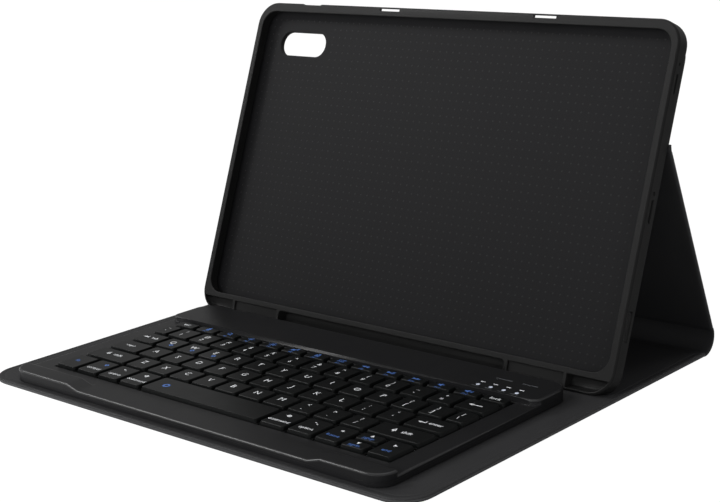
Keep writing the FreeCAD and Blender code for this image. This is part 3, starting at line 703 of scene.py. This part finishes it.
@dataclass
class Tray:
    """Moulded tray with a field of fine dots on its floor, with sizes in millimetres."""

    palette: Palette
    stand: Stand
    fine: float = 0.4
    corner: float = 12.0
    edge: float = 2.0
    mark_depth: float = 0.6
    level: float = 0.05
    dot: float = 0.5
    dot_top: float = 0.3
    dot_height: float = 0.12
    dot_lift: float = 0.02
    spread: Point = (244.0, 148.0)
    counts: tuple[int, int] = (62, 38)
    window: Point = (-99.0, 61.5)
    window_half: Point = (18.0, 8.5)

    # Height up the right side, half length and half width of a dot and a groove.
    SIDE_MARKS = ((150.0, 0.8, 0.8), (141.0, 4.6, 0.8))

    def round_edge(self, shell: bpy.types.Object) -> None:
        """Round the tray's front edge all the way, and sink a dot and a groove into its right side.

        Args:
            shell: Tray with fine edges.
        """
        place = self.stand.tray_place()
        low, high = box_of(place.inverted() @ vert.co for vert in shell.data.vertices)
        spare = 0.05
        steps = 7
        beyond = 1.0
        profile = [(-beyond, low.z - beyond), (-beyond, high.z - self.edge - 4 * spare)]
        for k in range(steps + 1):
            angle = math.radians(90 * k / steps)
            profile.append((self.edge * (1 - math.cos(angle)) - spare,
                            high.z - self.edge + (self.edge + spare) * math.sin(angle)))
        profile.append((self.edge, high.z + beyond))
        block = Slab(high.x, low.y, high.y, 4 * (self.corner,))
        carve(shell, block.loops(profile), place, "INTERSECT")
        wall = place @ Matrix.Translation((high.x, low.y, (low.z + high.z) / 2))
        wall = wall @ Matrix.Rotation(math.pi / 2, 4, "Y")
        for rise, half_length, half_width in self.SIDE_MARKS:
            mark = Slab(half_width, rise - half_length, rise + half_length, 4 * (half_width * SLOT_ROUND,))
            carve(shell, mark.loops(((0.0, -self.mark_depth), (0.0, beyond))), wall, "DIFFERENCE")
        even_out(shell)

    def dot_tree(self, values: dict[str, object]) -> bpy.types.NodeTree:
        """Node tree that sets dots on a grid and leaves the camera window free.

        Args:
            values: Values that the tree's inputs are to take, by name.

        Returns:
            The tree, with its named inputs.
        """
        tree = bpy.data.node_groups.new("floor dots", "GeometryNodeTree")
        face = tree.interface
        kinds = {float: "Float", int: "Int", bpy.types.Material: "Material"}
        for name, value in values.items():
            face.new_socket(name, in_out="INPUT", socket_type="NodeSocket" + kinds[type(value)])
        face.new_socket("Geometry", in_out="OUTPUT", socket_type="NodeSocketGeometry")
        given = add_node(tree, "NodeGroupInput").outputs
        grid = add_node(tree, "GeometryNodeMeshGrid", Size_X=given["Size X"], Size_Y=given["Size Y"],
                        Vertices_X=given["Count X"], Vertices_Y=given["Count Y"])
        place = add_node(tree, "GeometryNodeInputPosition").outputs[0]
        spot = add_node(tree, "ShaderNodeSeparateXYZ", Vector=place)
        inside = [add_node(tree, "ShaderNodeMath", spot.outputs[axis], given["Window " + axis],
                           given["Window Half " + axis], operation="COMPARE").outputs[0]
                  for axis in ("X", "Y")]
        both = add_node(tree, "ShaderNodeMath", *inside, operation="MULTIPLY")
        left = add_node(tree, "GeometryNodeDeleteGeometry", Geometry=grid.outputs["Mesh"],
                        Selection=both.outputs[0], domain="POINT")
        shape = add_node(tree, "GeometryNodeMeshCone", Vertices=8, Radius_Top=self.dot_top * MM,
                         Radius_Bottom=given["Dot Radius"], Depth=self.dot_height * MM)
        placed = add_node(tree, "GeometryNodeInstanceOnPoints", Points=left.outputs["Geometry"],
                          Instance=shape.outputs["Mesh"])
        real = add_node(tree, "GeometryNodeRealizeInstances", Geometry=placed.outputs["Instances"])
        dressed = add_node(tree, "GeometryNodeSetMaterial", Geometry=real.outputs["Geometry"],
                           Material=given["Dots"])
        add_node(tree, "NodeGroupOutput", Geometry=dressed.outputs["Geometry"])
        return tree

    def build(self) -> None:
        """Build the tray's look and its dotted floor."""
        finishes = self.palette.materials(TRAY_RIM, TRAY_FLOOR)
        shell = soften("tray_shell", self.fine, finishes, segments=3, clamp=False)
        self.round_edge(shell)
        mount = next(item for item in RECORD["mounts"] if item["name"] == "device_bay")
        to_tray = self.stand.tray_place().inverted()
        middle = to_tray @ Vector(mount["pos_m"])
        for face in shell.data.polygons:
            face.material_index = int(abs((to_tray @ face.center).z - middle.z) < self.level)
        give(shell, "tray", "tray_plastic", "tray_shell")
        values = {"Dot Radius": self.dot * MM, "Dots": self.palette.material(TRAY_DOTS)}
        for i, axis in enumerate(("X", "Y")):
            values["Size " + axis] = self.spread[i] * MM
            values["Count " + axis] = self.counts[i]
            values["Window " + axis] = self.window[i] * MM
            values["Window Half " + axis] = self.window_half[i] * MM
        floor = add_object("tray_floor_dots", bpy.data.meshes.new("tray_floor_dots"))
        modifier = floor.modifiers.new("dots", "NODES")
        modifier.node_group = self.dot_tree(values)
        for item in modifier.node_group.interface.items_tree:
            if item.in_out == "INPUT":
                modifier[item.identifier] = values[item.name]
        bpy.context.view_layer.update()
        settle(floor)
        lift = Matrix.Translation(middle - Vector((0, 0, self.dot_lift)))
        floor.data.transform(self.stand.tray_place() @ lift @ Matrix.Scale(1 / MM, 4))
        give(floor, "tray", "tray_plastic")


@dataclass
class Marks:
    """Printed letters and small icons of one body, collected into one thin mesh."""

    name: str
    body: str
    palette: Palette
    bm: bmesh.types.BMesh = field(default_factory=bmesh.new)
    words: list[tuple[bpy.types.Object, Matrix, Ink]] = field(default_factory=list)

    LETTER_DEPTH = 0.006
    LETTER_LIFT = 0.02
    ICON_FACES = (0.012, 0.026)

    def word(self, text: str, at: Vector, shift: Point, size: float, ink: Ink = Ink.WHITE) -> None:
        """Add a word centred beside a point.

        Args:
            text: Letters.
            at: Point on the surface, in metres.
            shift: Way from the point to the word's middle, in millimetres.
            size: Letter size in millimetres.
            ink: Colour.
        """
        curve = bpy.data.curves.new("word", "FONT")
        curve.body = text
        curve.align_x = "CENTER"
        curve.align_y = "CENTER"
        curve.size = size
        curve.resolution_u = 2
        curve.extrude = self.LETTER_DEPTH
        place = Matrix.Translation(at + Vector((*shift, self.LETTER_LIFT)) * MM) @ Matrix.Scale(MM, 4)
        self.words.append((add_object("word", curve), place, ink))

    def icon(self, shapes: Iterable[Polygon], at: Vector, shift: Point = (0.0, 0.0), ink: Ink = Ink.WHITE,
             size: float = 1.0) -> None:
        """Add an icon made of flat shapes, as thin plates.

        Args:
            shapes: Outlines in millimetres round the icon's middle.
            at: Point on the surface, in metres.
            shift: Way from the point to the icon's middle, in millimetres.
            ink: Colour.
            size: Scale.
        """
        for shape in shapes:
            flat = [(x * size + shift[0], y * size + shift[1]) for x, y in shape]
            low, high = ([self.bm.verts.new(at + Vector((*point, z)) * MM) for point in flat]
                         for z in self.ICON_FACES)
            faces = [self.bm.faces.new(high), self.bm.faces.new(low[::-1])]
            for i in range(len(shape)):
                faces.append(self.bm.faces.new((low[i - 1], low[i], high[i], high[i - 1])))
            for face in faces:
                face.material_index = ink.value

    def finish(self) -> None:
        """Join everything and put it on the body."""
        depsgraph = bpy.context.evaluated_depsgraph_get()
        for letters, place, ink in self.words:
            mesh = bpy.data.meshes.new_from_object(letters.evaluated_get(depsgraph))
            mesh.transform(place)
            before = len(self.bm.faces)
            self.bm.from_mesh(mesh)
            self.bm.faces.ensure_lookup_table()
            for face in self.bm.faces[before:]:
                face.material_index = ink.value
            bpy.data.meshes.remove(mesh)
        for letters, _, _ in self.words:
            bpy.data.objects.remove(letters)
        inks = self.palette.materials(WHITE_INK, BLUE_INK, FAINT_INK)
        piece = new_piece(self.name, self.bm, Matrix(), inks, sharp_deg=30.0)
        give(piece, self.body, "key_plastic")


class Icons:
    """Small plain icons, as lists of outlines in millimetres."""

    SIDES = 14
    RAY = [(1.05, -0.14), (1.6, -0.14), (1.6, 0.14), (1.05, 0.14)]
    CONE = [(-0.95, -0.5), (0.0, -1.3), (0.0, 1.3), (-0.95, 0.5)]

    @staticmethod
    def bar(x0: float, y0: float, x1: float, y1: float) -> Polygon:
        """Rectangle between two corners."""
        return [(x0, y0), (x1, y0), (x1, y1), (x0, y1)]

    @staticmethod
    def arrow(x: float, y: float, size: float, turn: float) -> Polygon:
        """Triangle round a point, aimed along an angle in degrees."""
        angles = [math.radians(angle + turn) for angle in (0, 130, 230)]
        return [(x + size * math.cos(a), y + size * math.sin(a)) for a in angles]

    @staticmethod
    def outline(shape: Polygon, share: float) -> list[Polygon]:
        """Hollow form of an outline, as a band along its edges.

        Args:
            shape: Outline.
            share: Size of the hollow, as a share of the outline's.

        Returns:
            Outlines of the band's pieces.
        """
        cx, cy = (sum(p[axis] for p in shape) / len(shape) for axis in (0, 1))
        inner = [(cx + (px - cx) * share, cy + (py - cy) * share) for px, py in shape]
        return [[shape[i - 1], shape[i], inner[i], inner[i - 1]] for i in range(len(shape))]

    @classmethod
    def hoop(cls, outer: float, inner: float, x: float = 0.0, y: float = 0.0) -> list[Polygon]:
        """Ring of two radii round a point, made of short pieces."""
        turns = [2 * math.pi * k / cls.SIDES for k in range(cls.SIDES)]
        return cls.outline([(x + outer * math.cos(a), y + outer * math.sin(a)) for a in turns],
                           inner / outer)

    @classmethod
    def sun(cls, rays: int) -> list[Polygon]:
        """Ring with a number of rays."""
        turns = [Matrix.Rotation(2 * math.pi * k / rays, 2) for k in range(rays)]
        return cls.hoop(0.75, 0.35) + [[tuple(turn @ Vector(p)) for p in cls.RAY] for turn in turns]

    @classmethod
    def speaker(cls, waves: int) -> list[Polygon]:
        """Loudspeaker with a number of sound waves."""
        sound = [cls.bar(0.5 + 0.6 * k, -0.5 - 0.35 * k, 0.75 + 0.6 * k, 0.5 + 0.35 * k)
                 for k in range(waves)]
        return [cls.bar(-1.7, -0.5, -1.0, 0.5), cls.CONE, *sound]

    @classmethod
    def function_row(cls) -> list[list[Polygon]]:
        """Draw the icons of the function row.

        Returns:
            The twelve icons, from the left.
        """
        home = [cls.arrow(0, 0.5, 1.3, 90), cls.bar(-0.8, -1.4, 0.8, -0.2)]
        search = cls.hoop(1.1, 0.75, -0.3, 0.3)
        search.append([(0.4, -0.6), (0.65, -0.35), (1.5, -1.2), (1.25, -1.45)])
        copy = [cls.bar(-1.4, -1.2, 0.2, 0.4), cls.bar(0.4, -0.2, 1.4, 1.3)]
        paste = [cls.bar(-1.1, -1.3 + 0.7 * k, 1.1, -0.9 + 0.7 * k) for k in range(3)]
        paste.append(cls.bar(-0.5, 0.8, 0.5, 1.3))
        board = [cls.bar(-1.7, -0.9, 1.7, -0.6), cls.bar(-1.7, 0.6, 1.7, 0.9)]
        board += [cls.bar(-1.4 + k, -0.2, -0.9 + k, 0.2) for k in range(3)]
        back = [cls.arrow(-0.8, 0, 1.0, 180), cls.arrow(0.8, 0, 1.0, 180)]
        play = [cls.arrow(-0.7, 0, 1.1, 0), cls.bar(0.6, -1.0, 0.95, 1.0), cls.bar(1.3, -1.0, 1.65, 1.0)]
        ahead = [cls.arrow(-0.8, 0, 1.0, 0), cls.arrow(0.8, 0, 1.0, 0)]
        return [home, search, cls.sun(4), cls.sun(8), copy, paste, board, back, play, ahead,
                cls.speaker(1), cls.speaker(2)]


@dataclass
class Keyboard:
    """Keyboard case, keys and printed marks, with sizes in millimetres."""

    palette: Palette
    fine: float = 0.12
    soft: float = 0.3
    broad: float = 0.9
    rim: float = 3.0
    sink: float = 2.6
    letter: float = 4.6
    sign: float = 3.8
    upper_sign: float = 3.4
    label: float = 3.3
    small: float = 3.0
    tiny: float = 2.2

    ROWS = {
        "number_keys": ("number_row", [*"`~ 1! 2@ 3# 4$ 5% 6^ 7& 8* 9( 0) -_ =+".split(), "back"]),
        "upper_letter_keys": ("upper_row", ["tab", *"QWERTYUIOP", "[{", "]}", "\\|"]),
        "home_letter_keys": ("home_row", ["caps", *"ASDFGHJKL", ";:", "'\"", "enter"]),
        "lower_letter_keys": ("lower_row", ["shift", *"ZXCVBNM", ",<", ".>", "/?", "shift"]),
        "modifier_keys": ("modifier_row", ["fn", "control", "option", "command", "command", "option"]),
    }
    BLUE_NOTES = {"Q": (1.6, -2.6), "W": (1.6, -2.6), "E": (1.6, -2.6), "control": (2.0, 3.4)}
    SIGNS = {
        "shift": Icons.outline(Icons.arrow(0, 0.4, 1.6, 90), 0.45) + [Icons.bar(-0.5, -1.3, 0.5, -0.6)],
        "enter": [Icons.arrow(-1.4, -0.5, 1.0, 180), Icons.bar(-1.2, -0.7, 1.6, -0.3),
                  Icons.bar(1.2, -0.3, 1.6, 1.0)],
        "tab": [Icons.arrow(0.6, 0, 1.1, 0), Icons.bar(-1.6, -0.2, 0.2, 0.2),
                Icons.bar(1.8, -1.0, 2.2, 1.0)],
    }
    MODIFIER_SIGNS = {
        "command": Icons.hoop(1.1, 0.6) + [Icons.bar(-1.5, -0.2, 1.5, 0.2)],
        "option": [Icons.bar(-1.4, 0.4, -0.2, 0.8), Icons.bar(0.3, -0.8, 1.4, -0.4)],
    }
    ARROWS = ((180, "home"), (270, "pgdn"), (90, "pgup"), (0, "end"))

    def islands(self, node: str) -> tuple[bmesh.types.BMesh, list[list[bmesh.types.BMVert]]]:
        """Split the mesh of a CAD node into its separate solids.

        Args:
            node: CAD node.

        Returns:
            Merged copy of the mesh, and the vertices of each solid.
        """
        bm = bmesh.new()
        bm.from_mesh(frame["nodes"][node].data)
        bmesh.ops.remove_doubles(bm, verts=bm.verts, dist=MERGE)
        todo = dict.fromkeys(bm.verts)
        groups = []
        while todo:
            stack = [todo.popitem()[0]]
            group = []
            while stack:
                vert = stack.pop()
                group.append(vert)
                for edge in vert.link_edges:
                    other = edge.other_vert(vert)
                    if other in todo:
                        del todo[other]
                        stack.append(other)
            groups.append(group)
        return bm, groups

    def key_boxes(self, node: str) -> list[tuple[Vector, Vector]]:
        """Boxes of the keys in a CAD node, from the left and, in one column, from the front.

        Args:
            node: CAD node of a group of keys.

        Returns:
            Lowest and highest corner of each key.
        """
        bm, groups = self.islands(node)
        boxes = [box_of(vert.co for vert in group) for group in groups]
        bm.free()
        return sorted(boxes, key=lambda box: (round(box[0].x, 4), box[0].y))

    @staticmethod
    def top_of(low: Vector, high: Vector) -> Vector:
        """Middle of the top of a box."""
        return Vector(((low.x + high.x) / 2, (low.y + high.y) / 2, high.z))

    def build_domes(self, node: str, body: str) -> None:
        """Make the rubber domes under a group of keys, fixed in place.

        Args:
            node: CAD node of the keys.
            body: Body that the keys ride on.
        """
        boxes = self.key_boxes(node)
        bm, groups = self.islands("rubber_domes")
        spare = []
        for group in groups:
            at = sum((vert.co for vert in group), Vector()) / len(group)
            if not any(low.x < at.x < high.x and low.y < at.y < high.y for low, high in boxes):
                spare += group
        bmesh.ops.delete(bm, geom=spare, context="VERTS")
        domes = new_piece(node + "_domes", bm, Matrix(), self.palette.materials(RUBBER))
        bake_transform(domes)
        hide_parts("rubber_domes")
        LOG.info("%s between keyboard and %s", domes.name, body)

    def print_row(self, node: str, body: str, legends: Sequence[str]) -> None:
        """Print the legends of one row of keys.

        Args:
            node: CAD node of the row.
            body: Body that it rides on.
            legends: One entry per key: a letter, a word, or a lower and an upper sign.
        """
        marks = Marks(node + "_print", body, self.palette)
        for box, legend in zip(self.key_boxes(node), legends):
            at = self.top_of(*box)
            if len(legend) == 1:
                marks.word(legend, at, (-0.6, 0.8), self.letter)
            elif len(legend) == 2 and not legend.isalpha():
                marks.word(legend[1], at, (-0.8, 2.4), self.upper_sign)
                marks.word(legend[0], at, (-0.8, -2.0), self.sign)
            elif legend == "back":
                marks.icon([Icons.arrow(-2.6, 0, 1.3, 180), Icons.bar(-2.2, -0.25, 3.2, 0.25)], at)
            elif legend in self.SIGNS:
                marks.icon(self.SIGNS[legend], at, (-4.0, 0.5))
                marks.word(legend, at, (2.6, 0.5), self.label)
            elif legend == "fn":
                marks.word(legend, at, (-0.6, 0.5), self.sign, Ink.BLUE)
            elif node == "modifier_keys":
                marks.word(legend, at, (0.0, -2.8), self.small)
                marks.icon(self.MODIFIER_SIGNS.get(legend, ()), at, (0.0, 3.6))
            else:
                marks.word(legend, at, (-0.6, 0.5), self.label)
            if legend in self.BLUE_NOTES:
                marks.icon(Icons.hoop(1.15, 0.5), at, self.BLUE_NOTES[legend], Ink.BLUE)
        marks.finish()

    def print_function_row(self) -> None:
        """Print the function row: words at its ends and blue icons between."""
        marks = Marks("function_keys_print", "function_row", self.palette)
        first, *middle, last = [self.top_of(*box) for box in self.key_boxes("function_keys")]
        marks.word("esc", first, (0.0, 0.0), self.upper_sign)
        for i, (at, shapes) in enumerate(zip(middle, Icons.function_row()), 1):
            marks.icon(shapes, at, (0.0, 1.0), Ink.BLUE, 1.3)
            marks.word(f"F{i}", at, (0.0, -2.6), self.tiny, Ink.BLUE)
        marks.word("lock", last, (0.0, 0.0), self.upper_sign)
        marks.finish()

    def print_rest(self) -> None:
        """Print the arrows, the space bar's mark and the strip beside the status lights."""
        marks = Marks("arrow_keys_print", "arrow_cluster", self.palette)
        for (low, high), (turn, name) in zip(self.key_boxes("arrow_keys"), self.ARROWS):
            at = self.top_of(low, high)
            depth = (high.y - low.y) / MM
            marks.icon([Icons.arrow(0, 0, 1.1, turn)], at, (0.0, depth * 0.2))
            marks.word(name, at, (0.0, -depth * 0.16), self.small, Ink.BLUE)
        marks.finish()
        low, high = self.key_boxes("space_bar")[0]
        at = self.top_of(low, high)
        at.x = low.x
        space = Marks("space_bar_print", "space_key", self.palette)
        space.icon(Icons.hoop(1.9, 0.9), at, (9.0, 0.0), Ink.BLUE)
        space.finish()
        strip = Marks("strip_print", "keyboard", self.palette)
        low, high = (Vector(corner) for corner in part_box("status_lights"))
        light = high.y - low.y
        step = (high.x - low.x - light) / 3
        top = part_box("keyboard_top_case")[1][2]
        for i in range(4):
            x = low.x + light / 2 + i * step
            strip.icon([Icons.bar(-1.2, -0.3, 1.2, 0.3)], Vector((x, high.y, top)), (0.0, 3.0))
            strip.icon([Icons.bar(-1.9, -0.2, 1.9, 0.2)], Vector((x, low.y, top)), (0.0, -1.2), Ink.FAINT)
        for i, half in ((1, 4.4), (3, 4.0)):
            at = Vector((low.x + i * step, high.y, top))
            strip.icon([Icons.bar(-half, -0.25, half, 0.25)], at, (0.0, 10.5), Ink.FAINT)
        strip.finish()

    def shade_wells(self, top: bpy.types.Object, low: Vector, high: Vector, deck: float) -> None:
        """Set the deck between the keys apart and paint it near black, as painted shade between the keys.

        Args:
            top: Upper half of the case.
            low: Lowest corner of the box round all keys, in millimetres.
            high: Highest corner of that box.
            deck: Height of the deck, in millimetres.
        """
        margin = 0.8
        depth = 1.5
        slack = 0.2
        ends = [(low[axis] - margin, high[axis] + margin) for axis in (0, 1)]
        bm = bmesh.new()
        bm.from_mesh(top.data)
        for axis, places in enumerate(ends):
            normal = Vector((1 - axis, axis, 0))
            for place in places:
                geometry = bm.verts[:] + bm.edges[:] + bm.faces[:]
                bmesh.ops.bisect_plane(bm, geom=geometry, dist=HAIR, plane_co=normal * place * MM,
                                       plane_no=normal)
        for face in bm.faces:
            at = face.calc_center_median() / MM
            inside = all(start < at[axis] < end for axis, (start, end) in enumerate(ends))
            # Painted shade: these faces between the keys take the near-black slot.
            if inside and deck - depth < at.z < deck + slack:
                face.material_index = 1
        bm.to_mesh(top.data)
        bm.free()
        even_out(top)

    def build(self) -> None:
        """Build the case, the keys and their marks."""
        # Slots: the case, the painted shade of the key wells, and the painted highlight on the broad
        # roundings of the top case and on every rounding of the bottom cover.
        case = self.palette.materials(CASE, PAINTED_WELL_SHADE, CASE_EDGE_HIGHLIGHT)
        high = Vector(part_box("keyboard_top_case")[1]) / MM
        ends = ("modifier_keys", "function_keys")
        front, rear = box_of(Vector(corner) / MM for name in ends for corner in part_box(name))
        x1 = rear.x + self.rim
        y0 = front.y - self.rim
        strip_front = rear.y + 1.4
        strip_rear = high.y - 1.0
        slack = 0.1

        def outer(at: Vector) -> bool:
            """Say whether an edge lies on the case's outer rim or round its raised strip, where the broad
            rounding takes the painted highlight.

            Args:
                at: Middle of the edge, in millimetres.

            Returns:
                True for such an edge.
            """
            rim = abs(at.x) > x1 or at.y < y0
            strip = at.z > high.z - slack and (at.y < strip_front or at.y > strip_rear)
            return at.z > high.z - self.rim - slack and (rim or strip)

        top = soften("keyboard_top_case", self.fine, case, broad_mm=self.broad, broad=outer, clamp=False)
        self.shade_wells(top, front, rear, high.z - self.sink)
        give(top, "keyboard", "keyboard_plastic", "keyboard_top_case")
        # Every rounding of the bottom cover takes the painted highlight slot.
        bottom = soften("keyboard_bottom_cover", self.soft, case)
        give(bottom, "keyboard", "keyboard_plastic", "keyboard_bottom_cover")
        bodies = {node: body for node, (body, _) in self.ROWS.items()}
        bodies.update(function_keys="function_row", space_bar="space_key", arrow_keys="arrow_cluster")
        for node, body in bodies.items():
            keys = soften(node, self.soft, self.palette.materials(KEY))
            give(keys, body, "key_plastic", node)
            self.build_domes(node, body)
        for node, (body, legends) in self.ROWS.items():
            self.print_row(node, body, legends)
        self.print_function_row()
        self.print_rest()


@dataclass(frozen=True)
class Lamp:
    """Soft rectangular light; one without glare is kept out of reflections."""

    name: str
    place: Place
    size: Point
    watts: float
    glare: bool = True


@dataclass
class Studio:
    """Camera, floor, surroundings and lights."""

    camera_mm: Place = (467.237, -519.238, 230.774)
    azimuth: float = 41.449
    elevation: float = 14.04
    roll: float = -2.088
    lens: float = 76.98
    aim: Place = (0.0, 0.0, 0.04)
    floor_half: float = 6.0
    floor_drop: float = 0.0002
    floor_grey: float = 0.3
    floor_glow: float = 1.12
    floor_share: float = 0.9
    bounce: float = 2.4
    bounce_way: Place = (-0.66, -0.75, 0.0)
    bounce_reach: Point = (0.1, 0.4)
    horizon: float = 0.03
    zenith: float = 0.35
    mirrored: float = 0.3

    LAMPS = (
        Lamp("left", (-1.0, -0.6, 1.0), (0.5, 0.5), 9.0),
        Lamp("front", (-0.12, -1.25, 0.6), (0.6, 0.5), 16.0, glare=False),
        Lamp("right", (1.1, -0.6, 0.28), (0.4, 0.4), 5.5, glare=False),
        Lamp("rear", (0.35, 1.15, 0.45), (0.6, 0.4), 6.0, glare=False),
        Lamp("top", (0.0, 0.2, 1.4), (1.0, 0.8), 2.0),
    )

    def add_camera(self) -> None:
        """Set the camera at its fitted place."""
        turn = Matrix()
        for angle, axis in ((self.azimuth, "Z"), (90 - self.elevation, "X"), (self.roll, "Z")):
            turn = turn @ Matrix.Rotation(math.radians(angle), 4, axis)
        data = bpy.data.cameras.new("camera")
        data.sensor_fit = "HORIZONTAL"
        data.sensor_width = 36.0
        data.lens = self.lens
        data.clip_end = 20.0
        camera = add_object("camera", data)
        camera.matrix_world = Matrix.Translation(Vector(self.camera_mm) * MM) @ turn
        bpy.context.scene.camera = camera

    def add_floor(self) -> None:
        """Lay a pale floor, near white for the camera, that throws light up in front of the case."""
        bm = bmesh.new()
        bmesh.ops.create_grid(bm, x_segments=1, y_segments=1, size=self.floor_half)
        material = bpy.data.materials.new("floor")
        tree = empty_tree(material)
        matte = add_node(tree, "ShaderNodeBsdfDiffuse", Color=(*3 * (self.floor_grey,), 1.0))
        place = add_node(tree, "ShaderNodeNewGeometry").outputs["Position"]
        ahead = add_node(tree, "ShaderNodeVectorMath", place, self.bounce_way, operation="DOT_PRODUCT")
        start, full = self.bounce_reach
        reach = add_node(tree, "ShaderNodeMapRange", Value=ahead.outputs["Value"], From_Min=start,
                         From_Max=full, To_Max=self.bounce)
        card = add_node(tree, "ShaderNodeEmission", Strength=reach.outputs["Result"])
        ground = add_node(tree, "ShaderNodeAddShader", matte.outputs[0], card.outputs[0])
        glow = add_node(tree, "ShaderNodeEmission", Strength=self.floor_glow)
        seen = add_node(tree, "ShaderNodeLightPath").outputs["Is Camera Ray"]
        share = add_node(tree, "ShaderNodeMath", seen, self.floor_share, operation="MULTIPLY")
        mix = add_node(tree, "ShaderNodeMixShader", share.outputs[0], ground.outputs[0], glow.outputs[0])
        add_node(tree, "ShaderNodeOutputMaterial", Surface=mix.outputs[0])
        floor = new_piece("floor", bm, Matrix.Translation((0, 0, -self.floor_drop)), [material])

    def add_world(self) -> None:
        """Surround the case with light that fades to the horizon, white where the camera looks past it."""
        world = bpy.data.worlds.new("surroundings")
        bpy.context.scene.world = world
        tree = empty_tree(world)
        path = add_node(tree, "ShaderNodeLightPath").outputs
        seen = add_node(tree, "ShaderNodeMath", path["Is Glossy Ray"], self.mirrored, path["Is Camera Ray"],
                        operation="MULTIPLY_ADD")
        way = add_node(tree, "ShaderNodeTexCoord").outputs["Generated"]
        height = add_node(tree, "ShaderNodeSeparateXYZ", Vector=way).outputs["Z"]
        rise = add_node(tree, "ShaderNodeMath", height, height, operation="MULTIPLY")
        fade = add_node(tree, "ShaderNodeMapRange", Value=rise.outputs[0], To_Min=self.horizon,
                        To_Max=self.zenith)
        strength = add_node(tree, "ShaderNodeMapRange", Value=seen.outputs[0], To_Min=fade.outputs["Result"])
        sky = add_node(tree, "ShaderNodeBackground", Color=4 * (1.0,), Strength=strength.outputs["Result"])
        add_node(tree, "ShaderNodeOutputWorld", Surface=sky.outputs[0])

    def add_lamps(self) -> None:
        """Hang the soft lights, all aimed at the keyboard."""
        for lamp in self.LAMPS:
            data = bpy.data.lights.new(lamp.name, "AREA")
            data.shape = "RECTANGLE"
            data.size, data.size_y = lamp.size
            data.energy = lamp.watts
            light = add_object(lamp.name, data)
            light.location = lamp.place
            light.visible_glossy = lamp.glare
            way = Vector(self.aim) - Vector(lamp.place)
            light.rotation_euler = way.to_track_quat("-Z", "Y").to_euler()

    def build(self) -> None:
        """Set up the whole studio."""
        bpy.context.scene.view_settings.view_transform = "Standard"
        self.add_camera()
        self.add_floor()
        self.add_world()
        self.add_lamps()


def paint_frame(palette: Palette) -> None:
    """Give every CAD node the material of its slot.

    Args:
        palette: Material maker.
    """
    slots = {part["node"]: part["material_slot"] for part in RECORD["subparts"]}
    for node, item in frame["nodes"].items():
        item.data.materials.clear()
        item.data.materials.append(palette.material(SLOT_FINISH[slots[node]]))


def main() -> None:
    """Dress the case and set the studio."""
    logging.basicConfig(level=logging.INFO)
    palette = Palette()
    stand = Stand.measure()
    paint_frame(palette)
    Cover(palette, stand).build()
    Tray(palette, stand).build()
    Keyboard(palette).build()
    Studio().build()


if __name__ == "__main__":
    main()
